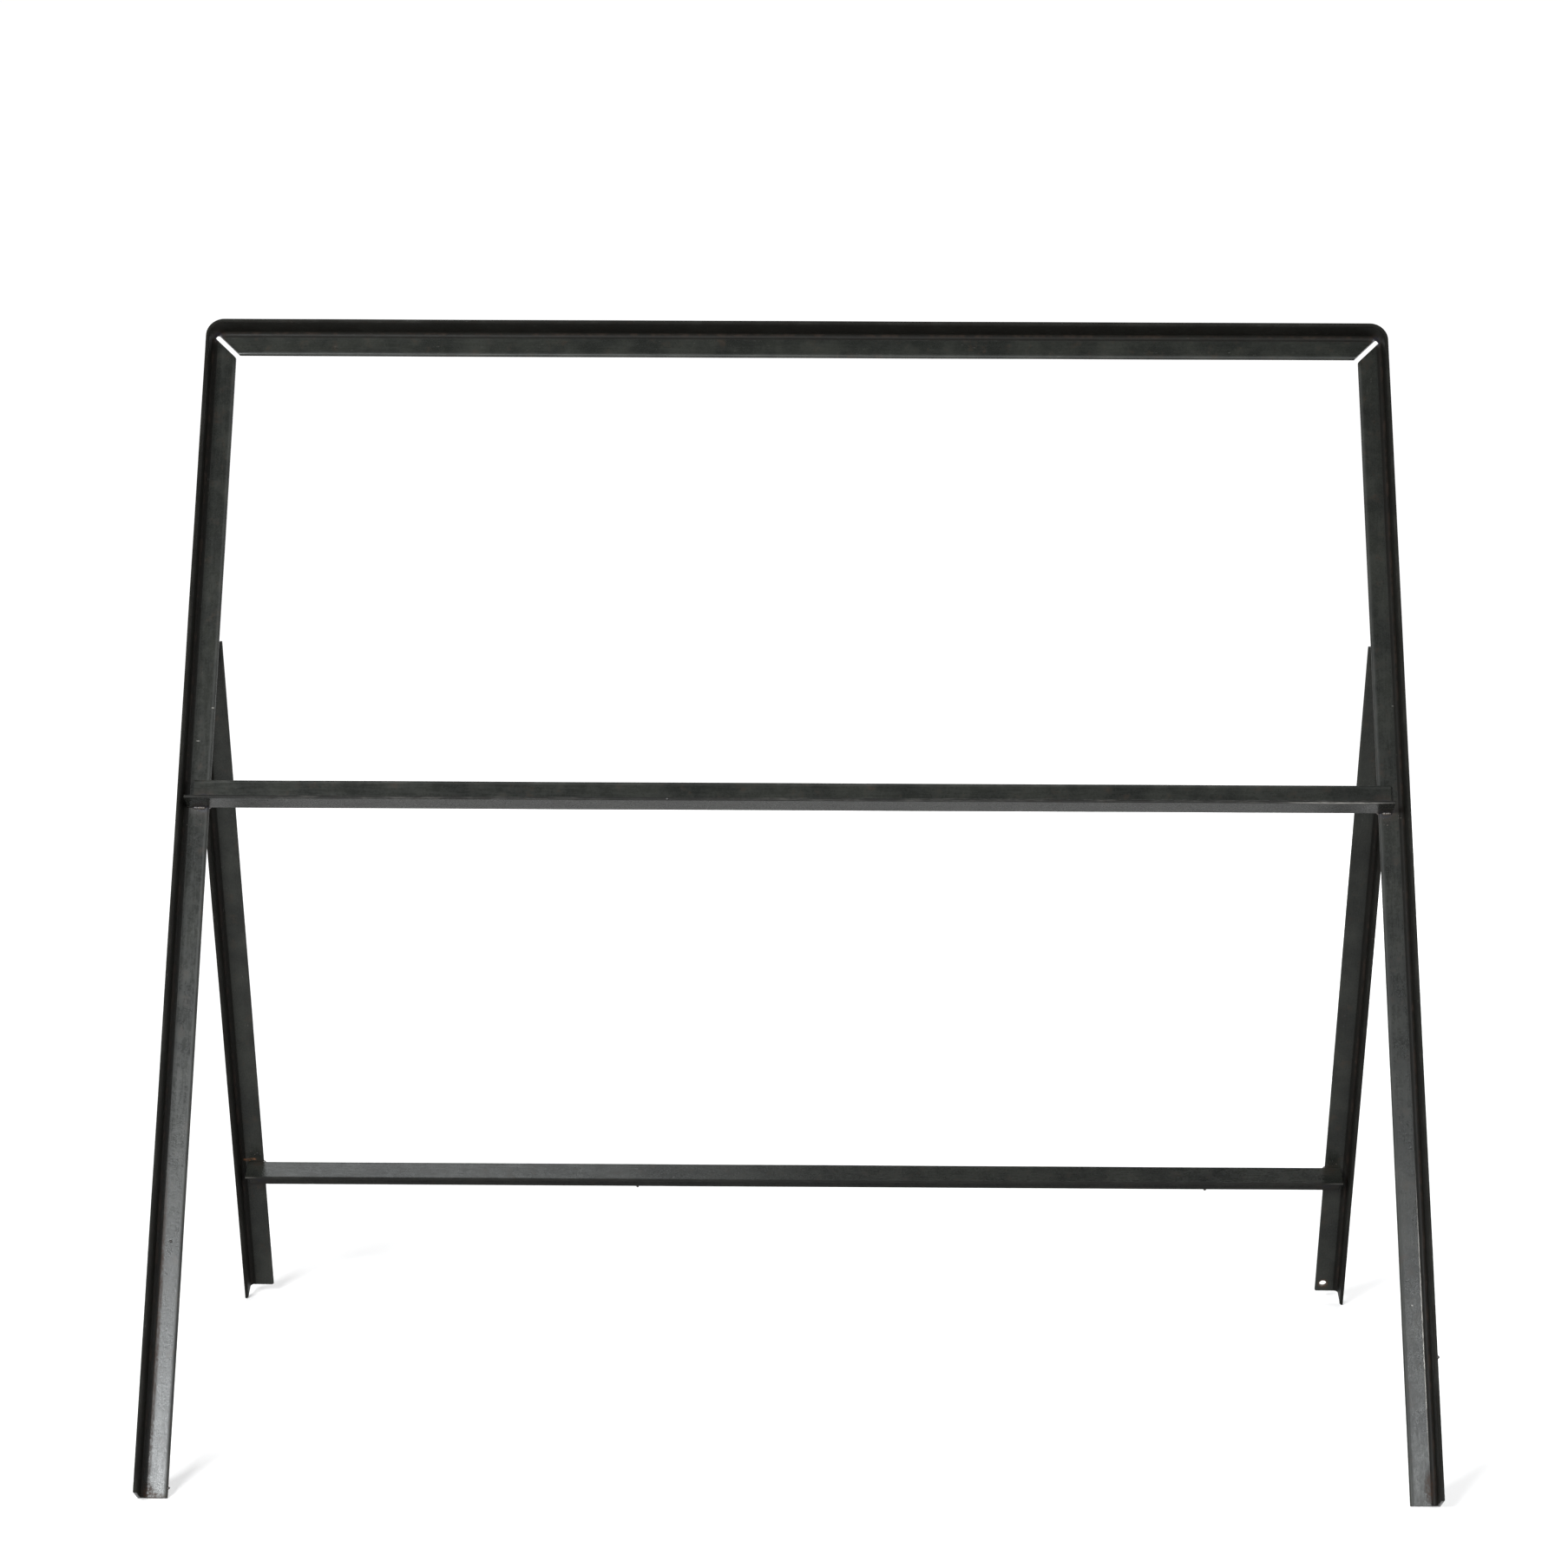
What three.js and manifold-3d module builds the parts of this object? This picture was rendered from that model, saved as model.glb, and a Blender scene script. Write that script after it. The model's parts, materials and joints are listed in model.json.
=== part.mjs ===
// Folding A-frame trestle made of 25 x 25 x 3 mm steel angle.
//
// A front frame bent from one length of angle forms a shallow tray round three sides, and a ledge
// welded across its legs closes the tray below. A rear frame of two legs and a rail is bolted to
// two lugs behind the front legs. It swings back until the tops of its legs bear on the front
// frame, and folds flat against it.
//
// Millimetres, +Z up, +X across the width, the tray facing -Y. The origin is on the ground under
// the middle of the open stand.

import * as THREE from 'three';
import { mergeVertices } from 'three/addons/utils/BufferGeometryUtils.js';
import Module from 'manifold-3d';

const wasm = await Module();
wasm.setup();

// Steel angle
const FLANGE = 25;
const THICK = 3;
const ROOT_RADIUS = 3.5;
const TOE_RADIUS = 2;
const ARC_STEPS = 5;

// Front frame: lengths run along its legs, drops are measured down from its top
const WIDTH = 1060;
const FRONT_LENGTH = 1060;
const FRONT_LEAN = THREE.MathUtils.degToRad(28.3);
const BEND_RADIUS = 16;
const BEND_STEPS = 10;
const SLOT_WIDTH = 4.6;
const SLOT_START = 7.6;
const LEDGE_DROP = 461;
const LEDGE_SHIFT = -3.5;
const LEDGE_COPE = 5;

// Rear frame
const REAR_LENGTH = 715;
const RAIL_HEIGHT = 148;
const RAIL_LENGTH = 1040;
const TIE_HOLE_RADIUS = 3.5;
const TIE_HOLE_EDGE = 7.3;
const TIE_HOLE_HEIGHT = 9;

// Hinge
const PIVOT_DROP = 320;
const PIVOT_BEHIND = 23;
const PIVOT_BACKMARK = 14;
const LEG_ABOVE_PIVOT = 20;
const LUG_THICK = 4;
const LUG_RADIUS = 10;
const BOLT_RADIUS = 4;
const BOLT_HOLE_RADIUS = 4.5;
const BOLT_LENGTH = 20;
const HEAD_HEIGHT = 5.3;
const HEX_ACROSS_FLATS = 13;
const WASHER_RADIUS = 8;
const WASHER_THICK = 1.6;
const NUT_BORE_RADIUS = 4.35;
const NUT_HEX_HEIGHT = 6;
const NUT_COLLAR_HEIGHT = 2;
const NUT_COLLAR_RADIUS = 6.2;
const RING_RADIUS = 5.2;
const ROUND_SEGMENTS = 32;

// Separate pieces that touch are modelled this far apart, and joined solids overlap this much
const GAP = 0.3;
const OVERLAP = 1;

const HALF = WIDTH / 2;
const HEX_RADIUS = HEX_ACROSS_FLATS / Math.sqrt(3);

// ---------------------------------------------------------------- stance

// Height of the hinge line with the heels of the front legs on the ground
const pivotHeight =
  (FRONT_LENGTH - PIVOT_DROP) * Math.cos(FRONT_LEAN) - PIVOT_BEHIND * Math.sin(FRONT_LEAN);

// The rear legs stand on the toes of their side flanges, and that sets how far they lean
const toeToPivot = FLANGE - PIVOT_BACKMARK;
const footToPivot = REAR_LENGTH - LEG_ABOVE_PIVOT;
const REAR_LEAN =
  Math.atan2(toeToPivot, footToPivot) + Math.acos(pivotHeight / Math.hypot(toeToPivot, footToPivot));

const frontHeelToPivot =
  (FRONT_LENGTH - PIVOT_DROP) * Math.sin(FRONT_LEAN) + PIVOT_BEHIND * Math.cos(FRONT_LEAN);
const pivotToRearHeel = footToPivot * Math.sin(REAR_LEAN) + PIVOT_BACKMARK * Math.cos(REAR_LEAN);
const spread = frontHeelToPivot + pivotToRearHeel;
const frontHeelY = (FLANGE * Math.cos(FRONT_LEAN) - spread) / 2;

// ---------------------------------------------------------------- solids

function toSolid(geometry) {
  const bare = geometry.clone();
  bare.deleteAttribute('normal');
  bare.deleteAttribute('uv');
  const merged = mergeVertices(bare, 1e-4);
  const vertProperties = new Float32Array(merged.attributes.position.array);
  const triVerts = new Uint32Array(merged.index.array);
  return new wasm.Manifold(new wasm.Mesh({ numProp: 3, vertProperties, triVerts }));
}

function toGeometry(solid) {
  const mesh = solid.getMesh();
  const geometry = new THREE.BufferGeometry();
  geometry.setAttribute('position', new THREE.BufferAttribute(mesh.vertProperties, 3));
  geometry.setIndex(new THREE.BufferAttribute(mesh.triVerts, 1));
  geometry.computeVertexNormals();
  return geometry;
}

function join(...geometries) {
  return toGeometry(geometries.map(toSolid).reduce((whole, piece) => whole.add(piece)));
}

function cut(geometry, ...tools) {
  return toGeometry(tools.map(toSolid).reduce((whole, tool) => whole.subtract(tool), toSolid(geometry)));
}

function extrude(shape, depth) {
  return new THREE.ExtrudeGeometry(shape, { depth, bevelEnabled: false, curveSegments: ROUND_SEGMENTS / 2 });
}

// ---------------------------------------------------------------- sections and bars

function addArc(points, x, y, radius, from, to, steps = ARC_STEPS) {
  for (let i = 0; i <= steps; i += 1) {
    const angle = from + ((to - from) * i) / steps;
    points.push(new THREE.Vector2(x + radius * Math.cos(angle), y + radius * Math.sin(angle)));
  }
}

// Angle section with its heel at the origin and its flanges along +-x and +-y
function angleSection(xSign, ySign) {
  const quarter = Math.PI / 2;
  const root = THICK + ROOT_RADIUS;
  const points = [new THREE.Vector2(0, 0), new THREE.Vector2(FLANGE, 0)];
  addArc(points, FLANGE - TOE_RADIUS, THICK - TOE_RADIUS, TOE_RADIUS, 0, quarter);
  addArc(points, root, root, ROOT_RADIUS, 3 * quarter, 2 * quarter);
  addArc(points, THICK - TOE_RADIUS, FLANGE - TOE_RADIUS, TOE_RADIUS, 0, quarter);
  points.push(new THREE.Vector2(0, FLANGE));
  return new THREE.Shape(points.map((p) => new THREE.Vector2(p.x * xSign, p.y * ySign)));
}

// Upright bar, its heel on the outer corner of that side and its side flange towards -Y
function uprightBar(side, length) {
  return extrude(angleSection(-side, -1), length).translate(side * HALF, 0, 0);
}

// Bar along X centred on x = 0, with one flange towards -Y and the other up or down from its heel
function crossBar(upSign, length) {
  return extrude(angleSection(-upSign, -1), length)
    .rotateY(Math.PI / 2)
    .translate(-length / 2, 0, 0);
}

function roundRod(radius, length) {
  return new THREE.CylinderGeometry(radius, radius, length, ROUND_SEGMENTS);
}

// ---------------------------------------------------------------- front frame

// Quarter of the bent side flange, from the leg round to the top bar
function bentRim(side) {
  const centre = HALF - BEND_RADIUS;
  const inner = BEND_RADIUS - THICK;
  const rim = [];
  rim.push(new THREE.Vector2(HALF, -OVERLAP));
  addArc(rim, centre, 0, BEND_RADIUS, 0, Math.PI / 2, BEND_STEPS);
  rim.push(new THREE.Vector2(centre - OVERLAP, BEND_RADIUS));
  rim.push(new THREE.Vector2(centre - OVERLAP, inner));
  addArc(rim, centre, 0, inner, Math.PI / 2, 0, BEND_STEPS);
  rim.push(new THREE.Vector2(HALF - THICK, -OVERLAP));
  const shape = new THREE.Shape(rim.map((p) => new THREE.Vector2(side * p.x, p.y)));
  return extrude(shape, FLANGE)
    .rotateX(Math.PI / 2)
    .translate(0, 0, FRONT_LENGTH - BEND_RADIUS);
}

// The face flange behind that bend
function cornerPlate(side) {
  const centre = HALF - BEND_RADIUS;
  const reach = FLANGE - BEND_RADIUS;
  const plate = [new THREE.Vector2(HALF, -reach)];
  addArc(plate, centre, 0, BEND_RADIUS, 0, Math.PI / 2, BEND_STEPS);
  plate.push(new THREE.Vector2(HALF - FLANGE, BEND_RADIUS));
  plate.push(new THREE.Vector2(HALF - FLANGE, -reach));
  const shape = new THREE.Shape(plate.map((p) => new THREE.Vector2(side * p.x, p.y)));
  return extrude(shape, THICK)
    .rotateX(Math.PI / 2)
    .translate(0, 0, FRONT_LENGTH - BEND_RADIUS);
}

// The gap left along the mitre where the face flange was notched before bending
function mitreSlot(side) {
  const radius = SLOT_WIDTH / 2;
  const length = FLANGE * 2;
  const outline = [];
  addArc(outline, 0, 0, radius, Math.PI / 2, 1.5 * Math.PI, BEND_STEPS);
  outline.push(new THREE.Vector2(length, -radius));
  outline.push(new THREE.Vector2(length, radius));
  const inward = side > 0 ? 1.25 * Math.PI : 1.75 * Math.PI;
  return extrude(new THREE.Shape(outline), THICK + 2 * OVERLAP)
    .rotateZ(inward)
    .rotateX(Math.PI / 2)
    .translate(side * (HALF - SLOT_START), OVERLAP, FRONT_LENGTH - SLOT_START);
}

function frontFrameGeometry() {
  const straight = FRONT_LENGTH - BEND_RADIUS;
  const top = crossBar(-1, WIDTH - 2 * BEND_RADIUS).translate(0, 0, FRONT_LENGTH);
  const bars = [top];
  const slots = [];
  for (const side of [-1, 1]) {
    bars.push(uprightBar(side, straight), bentRim(side), cornerPlate(side));
    slots.push(mitreSlot(side));
  }
  return cut(join(...bars), ...slots);
}

// Ledge at the bottom of the tray; its upright flange is coped short at the left end
function ledgeGeometry() {
  const left = LEDGE_SHIFT - RAIL_LENGTH / 2;
  const cope = new THREE.BoxGeometry(2 * LEDGE_COPE, FLANGE, FLANGE);
  cope.translate(left, -FLANGE / 2 + THICK, FLANGE / 2 + THICK + ROOT_RADIUS);
  return cut(crossBar(1, RAIL_LENGTH).translate(LEDGE_SHIFT, 0, 0), cope);
}

// ---------------------------------------------------------------- rear frame

function rearLegGeometry(side) {
  const pivotHole = roundRod(BOLT_HOLE_RADIUS, 2 * FLANGE).rotateZ(Math.PI / 2);
  pivotHole.translate(side * HALF, -PIVOT_BACKMARK, footToPivot);
  if (side < 0) {
    return cut(uprightBar(side, REAR_LENGTH), pivotHole);
  }
  const tieHole = roundRod(TIE_HOLE_RADIUS, 2 * FLANGE);
  tieHole.translate(HALF - FLANGE + TIE_HOLE_EDGE, 0, TIE_HOLE_HEIGHT);
  return cut(uprightBar(side, REAR_LENGTH), pivotHole, tieHole);
}

// ---------------------------------------------------------------- hinge

// Flat lug with a round end about the pivot; its square end is welded to the front leg
function lugGeometry() {
  const shape = new THREE.Shape();
  shape.moveTo(-LUG_RADIUS, GAP - PIVOT_BEHIND);
  shape.lineTo(-LUG_RADIUS, 0);
  shape.absarc(0, 0, LUG_RADIUS, Math.PI, 0, true);
  shape.lineTo(LUG_RADIUS, GAP - PIVOT_BEHIND);
  const hole = new THREE.Path();
  hole.absarc(0, 0, BOLT_HOLE_RADIUS, 0, 2 * Math.PI, false);
  shape.holes.push(hole);
  return extrude(shape, LUG_THICK).rotateY(Math.PI / 2);
}

// Bolt with its shank end at x = 0 and its head towards +X
function boltGeometry() {
  const shank = roundRod(BOLT_RADIUS, BOLT_LENGTH + OVERLAP);
  shank.translate(0, (BOLT_LENGTH + OVERLAP) / 2, 0);
  const head = new THREE.CylinderGeometry(HEX_RADIUS, HEX_RADIUS, HEAD_HEIGHT, 6);
  head.translate(0, BOLT_LENGTH + HEAD_HEIGHT / 2, 0);
  return join(shank, head).rotateZ(-Math.PI / 2);
}

// Flat ring from x = 0 to x = thick
function ringGeometry(outer, inner, thick) {
  const shape = new THREE.Shape();
  shape.absarc(0, 0, outer, 0, 2 * Math.PI, false);
  const hole = new THREE.Path();
  hole.absarc(0, 0, inner, 0, 2 * Math.PI, true);
  shape.holes.push(hole);
  return extrude(shape, thick).rotateY(Math.PI / 2);
}

// Lock nut: hexagon from x = 0, then a round collar that holds the nylon ring
function nutGeometry() {
  const hexagon = new THREE.CylinderGeometry(HEX_RADIUS, HEX_RADIUS, NUT_HEX_HEIGHT, 6);
  hexagon.rotateZ(-Math.PI / 2).translate(NUT_HEX_HEIGHT / 2, 0, 0);
  const collar = roundRod(NUT_COLLAR_RADIUS, NUT_COLLAR_HEIGHT + OVERLAP).rotateZ(-Math.PI / 2);
  collar.translate(NUT_HEX_HEIGHT + (NUT_COLLAR_HEIGHT - OVERLAP) / 2, 0, 0);
  const bore = roundRod(NUT_BORE_RADIUS, 4 * NUT_HEX_HEIGHT).rotateZ(-Math.PI / 2);
  const recess = roundRod(RING_RADIUS + GAP, 2 * NUT_COLLAR_HEIGHT).rotateZ(-Math.PI / 2);
  recess.translate(NUT_HEX_HEIGHT + NUT_COLLAR_HEIGHT, 0, 0);
  return cut(join(hexagon, collar), bore, recess);
}

// ---------------------------------------------------------------- assembly

function steel(roughness = 0.45) {
  return new THREE.MeshStandardMaterial({ color: 0x2f3133, roughness, metalness: 0.85 });
}

function zinc() {
  return new THREE.MeshStandardMaterial({ color: 0x9a9c9a, roughness: 0.4, metalness: 0.9 });
}

function nylon() {
  return new THREE.MeshStandardMaterial({ color: 0x2c5fa8, roughness: 0.5, metalness: 0 });
}

function add(group, name, geometry, material, x = 0, y = 0, z = 0) {
  const mesh = new THREE.Mesh(geometry, material);
  mesh.name = name;
  mesh.position.set(x, y, z);
  group.add(mesh);
  return mesh;
}

// Hinge pieces on one side, stacked from the rear leg's side flange towards the middle.
// The group is centred on the pivot, and is turned half round on the left side.
function addHinge(group, side, lugGroup) {
  const name = side < 0 ? 'left' : 'right';
  const turned = new THREE.Group();
  turned.rotation.z = side < 0 ? Math.PI : 0;
  group.add(turned);

  const spacer = HALF - THICK - GAP - WASHER_THICK;
  const lug = spacer - GAP - LUG_THICK;
  const washer = lug - GAP - WASHER_THICK;
  const nut = washer - GAP;
  const ring = nut - NUT_HEX_HEIGHT - NUT_COLLAR_HEIGHT;
  const bolt = HALF + GAP - BOLT_LENGTH;

  add(turned, `pivot_bolt_${name}`, boltGeometry(), zinc(), bolt);
  const washerShape = [WASHER_RADIUS, BOLT_HOLE_RADIUS, WASHER_THICK];
  add(turned, `spacer_washer_${name}`, ringGeometry(...washerShape), zinc(), spacer);
  add(turned, `nut_washer_${name}`, ringGeometry(...washerShape), zinc(), washer);
  const lockNut = add(turned, `lock_nut_${name}`, nutGeometry(), zinc(), nut);
  lockNut.rotation.z = Math.PI;
  const ringThick = NUT_COLLAR_HEIGHT - 2 * GAP;
  const nylonRing = ringGeometry(RING_RADIUS, NUT_BORE_RADIUS, ringThick);
  add(turned, `nylon_ring_${name}`, nylonRing, nylon(), ring + GAP);

  const lugX = side < 0 ? -lug - LUG_THICK : lug;
  const lugZ = FRONT_LENGTH - PIVOT_DROP;
  add(lugGroup, `hinge_lug_${name}`, lugGeometry(), steel(), lugX, PIVOT_BEHIND, lugZ);
}

function buildTrestle() {
  const stand = new THREE.Group();

  const front = new THREE.Group();
  front.position.y = frontHeelY;
  front.rotation.x = -FRONT_LEAN;
  add(front, 'front_frame', frontFrameGeometry(), steel());
  const onFace = -THICK - GAP;
  add(front, 'sign_ledge', ledgeGeometry(), steel(), 0, onFace, FRONT_LENGTH - LEDGE_DROP);

  const rear = new THREE.Group();
  rear.position.y = frontHeelY + spread;
  rear.position.z = FLANGE * Math.sin(REAR_LEAN);
  rear.rotation.x = REAR_LEAN;
  add(rear, 'rear_leg_left', rearLegGeometry(-1), steel());
  add(rear, 'rear_leg_right', rearLegGeometry(1), steel());
  add(rear, 'rear_rail', crossBar(-1, RAIL_LENGTH), steel(), 0, onFace, RAIL_HEIGHT);

  const pivot = new THREE.Group();
  pivot.position.set(0, -PIVOT_BACKMARK, footToPivot);
  rear.add(pivot);
  for (const side of [-1, 1]) {
    addHinge(pivot, side, front);
  }

  stand.add(front, rear);
  return stand;
}

export default buildTrestle();
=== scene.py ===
# Looks of the folding sign trestle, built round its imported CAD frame.
#
# Metres, +Z up, +X across the width, the tray facing -Y. Each of the two frames has a local
# frame of its own: x across, z up along its legs, y = 0 on the back of its face flanges, and
# the other flanges reaching towards -y.

import json
import math
import random

import bmesh
import bpy
from mathutils import Matrix, Vector, noise


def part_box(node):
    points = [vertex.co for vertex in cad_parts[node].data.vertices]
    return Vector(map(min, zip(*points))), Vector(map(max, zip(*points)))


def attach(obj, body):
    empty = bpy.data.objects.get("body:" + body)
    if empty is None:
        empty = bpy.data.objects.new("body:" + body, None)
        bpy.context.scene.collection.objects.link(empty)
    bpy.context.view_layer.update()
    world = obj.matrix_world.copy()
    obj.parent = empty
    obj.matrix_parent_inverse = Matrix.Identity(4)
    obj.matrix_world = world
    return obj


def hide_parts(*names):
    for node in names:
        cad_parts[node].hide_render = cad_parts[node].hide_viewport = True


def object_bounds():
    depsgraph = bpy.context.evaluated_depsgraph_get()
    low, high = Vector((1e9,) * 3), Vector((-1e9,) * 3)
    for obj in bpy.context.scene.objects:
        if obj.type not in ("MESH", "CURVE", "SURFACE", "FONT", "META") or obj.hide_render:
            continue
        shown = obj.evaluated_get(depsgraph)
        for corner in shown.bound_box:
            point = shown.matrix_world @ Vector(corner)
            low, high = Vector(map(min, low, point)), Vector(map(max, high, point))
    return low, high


# Without a seed, noise_vector takes its offsets from the clock.
noise.seed_set(7)

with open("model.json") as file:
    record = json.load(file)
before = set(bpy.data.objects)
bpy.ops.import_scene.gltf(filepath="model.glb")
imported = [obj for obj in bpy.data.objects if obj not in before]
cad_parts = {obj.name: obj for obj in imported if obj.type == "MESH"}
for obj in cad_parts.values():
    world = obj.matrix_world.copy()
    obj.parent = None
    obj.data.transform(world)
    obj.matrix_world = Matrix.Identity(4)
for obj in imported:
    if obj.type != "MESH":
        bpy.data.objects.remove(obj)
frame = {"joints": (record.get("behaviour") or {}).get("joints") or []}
cad_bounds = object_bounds()

MM = 0.001
SAME_POINT = 0.002 * MM

# Steel angle
FLANGE = 25 * MM
THICK = 3 * MM
ROOT_RADIUS = 3.5 * MM
TOE_RADIUS = 2 * MM
WORN_RADIUS = 0.45 * MM
CUT_CHAMFER = 0.35 * MM
RING_STEP = 14 * MM
ROLLING_DRIFT = 0.12 * MM
DRIFTS_PER_METRE = 9

# The "root" attribute is 1 in the inner corner and marks painted shade there. Faces over
# CORNER_LIMIT get a less glossy twin material, more painted shade.
CORNER_WEIGHT = 0.8
CORNER_LIMIT = 0.5

# Bars
FRONT_LENGTH = 1060 * MM
REAR_LENGTH = 715 * MM
BEND_RADIUS = 16 * MM
SLOT_WIDTH = 4.6 * MM
SLOT_START = 7.6 * MM
LEDGE_COPE = 5 * MM
LEDGE_DROP = 461 * MM
RAIL_HEIGHT = 148 * MM
TIE_HOLE_RADIUS = 3.5 * MM
TIE_HOLE_EDGE = 7.3 * MM
TIE_HOLE_HEIGHT = 9 * MM
WELD_GAP = 0.3 * MM
CUTTER_REACH = 1 * MM

# Hinge
BOLT_HOLE_RADIUS = 4.5 * MM
BOLT_RADIUS = 4 * MM
THREAD_PITCH = 1.25 * MM
THREAD_DEPTH = 0.6 * MM
HEAD_HEIGHT = 5.3 * MM
HEX_APOTHEM = 6.5 * MM
WASHER_RADIUS = 8 * MM
NUT_BORE_RADIUS = 4.35 * MM
NUT_HEX_HEIGHT = 6 * MM
NUT_COLLAR_RADIUS = 6.2 * MM
RING_RADIUS = 5.2 * MM
PIVOT_BEHIND = 23 * MM
PIVOT_DROP = 320 * MM
LUG_RADIUS = 10 * MM
LUG_X = 522 * MM

# How strongly each steel surface mirrors the studio
FRONT_GLOSS = 0.24
LEDGE_GLOSS = 0.165
REAR_LEG_GLOSS = 0.18
RAIL_GLOSS = 0.15
# Gloss of the less glossy twins in the inner corners, which are painted shade
CORNER_SHADE_GLOSS = 0.07

SIDES = {"left": -1, "right": 1}


def mm(*values):
    return tuple(value * MM for value in values)


# ------------------------------------------------------------------ the two leaning frames

def lean_of(node, length):
    """How far a bar of that length leans from upright, from the size of its box."""
    low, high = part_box(node)
    depth = high.y - low.y
    height = high.z - low.z
    return math.atan2(length * depth - FLANGE * height, length * height - FLANGE * depth)


front_low, front_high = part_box("front_frame")
rear_low, rear_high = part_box("rear_leg_left")
HALF = front_high.x
FRONT_LEAN = lean_of("front_frame", FRONT_LENGTH)
REAR_LEAN = lean_of("rear_leg_left", REAR_LENGTH)

front_heel = Vector((0, front_low.y + FLANGE * math.cos(FRONT_LEAN), front_low.z))
rear_heel = Vector((0, rear_high.y, rear_low.z + FLANGE * math.sin(REAR_LEAN)))
TO_ROW = {
    "front": Matrix.Translation(front_heel) @ Matrix.Rotation(-FRONT_LEAN, 4, "X"),
    "rear": Matrix.Translation(rear_heel) @ Matrix.Rotation(REAR_LEAN, 4, "X"),
}
PIVOT = Vector(frame["joints"][0]["pos_m"])
REAR_PIVOT = TO_ROW["rear"].inverted() @ PIVOT


# ------------------------------------------------------------------ mesh helpers

def finish_mesh(name, bm, body, materials, smooth_angle=34, stands_for=None):
    """Turns a bmesh in a body's local frame into a finished piece that rides on that body."""
    bmesh.ops.recalc_face_normals(bm, faces=bm.faces)
    mesh = bpy.data.meshes.new(name)
    bm.to_mesh(mesh)
    bm.free()
    mesh.transform(TO_ROW[body])
    mesh.shade_smooth()
    mesh.set_sharp_from_angle(angle=math.radians(smooth_angle))
    for material in materials:
        mesh.materials.append(material)
    piece = bpy.data.objects.new(name, mesh)
    bpy.context.scene.collection.objects.link(piece)
    weighted = piece.modifiers.new("weighted", "WEIGHTED_NORMAL")
    weighted.keep_sharp = True
    apply_modifiers(piece)
    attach(piece, body)
    if stands_for:
        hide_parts(stands_for)
    return piece


def apply_modifiers(piece):
    """Replaces a piece's mesh by the result of its modifiers, and clears them."""
    depsgraph = bpy.context.evaluated_depsgraph_get()
    result = bpy.data.meshes.new_from_object(piece.evaluated_get(depsgraph))
    piece.modifiers.clear()
    piece.data = result


def cut(bm, *cutters):
    """Cuts closed meshes out of a closed mesh."""
    target = scratch_object(bm)
    for cutter in cutters:
        tool = scratch_object(cutter)
        boolean = target.modifiers.new("cut", "BOOLEAN")
        boolean.operation = "DIFFERENCE"
        boolean.solver = "EXACT"
        boolean.object = tool
        apply_modifiers(target)
        bpy.data.objects.remove(tool)
    result = bmesh.new()
    result.from_mesh(target.data)
    bpy.data.objects.remove(target)
    return result


def scratch_object(bm):
    bmesh.ops.recalc_face_normals(bm, faces=bm.faces)
    mesh = bpy.data.meshes.new("scratch")
    bm.to_mesh(mesh)
    bm.free()
    piece = bpy.data.objects.new("scratch", mesh)
    bpy.context.scene.collection.objects.link(piece)
    return piece


def skin_rings(rings, wears=None, roots=None, closed=False):
    """Closed mesh over rings of points, capped at both ends unless the last joins the first."""
    bm = bmesh.new()
    wear_layer = bm.verts.layers.float.new("wear")
    root_layer = bm.verts.layers.float.new("root")
    rows = []
    for ring in rings:
        row = []
        for index, point in enumerate(ring):
            vertex = bm.verts.new(point)
            vertex[wear_layer] = wears[index] if wears else 0
            vertex[root_layer] = roots[index] if roots else 0
            row.append(vertex)
        rows.append(row)
    pairs = list(zip(rows, rows[1:]))
    if closed:
        pairs.append((rows[-1], rows[0]))
    count = len(rows[0])
    for lower, upper in pairs:
        for i in range(count):
            j = (i + 1) % count
            bm.faces.new((lower[i], lower[j], upper[j], upper[i]))
    if not closed:
        bm.faces.new(rows[0])
        bm.faces.new(list(reversed(rows[-1])))
    bmesh.ops.remove_doubles(bm, verts=bm.verts, dist=SAME_POINT)
    caps = [face for face in bm.faces if len(face.verts) > 4]
    bmesh.ops.triangulate(bm, faces=caps)
    return bm


def prism(outline, along, start, end):
    """Closed prism of a 2D outline, its axis along x or y."""
    rings = []
    for w in (start, end):
        if along == "x":
            rings.append([Vector((w, u, v)) for u, v in outline])
        else:
            rings.append([Vector((u, w, v)) for u, v in outline])
    return skin_rings(rings)


def circle(u, v, radius, segments=48):
    turns = [2 * math.pi * i / segments for i in range(segments)]
    return [(u + radius * math.cos(t), v + radius * math.sin(t)) for t in turns]


# ------------------------------------------------------------------ angle bars

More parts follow.
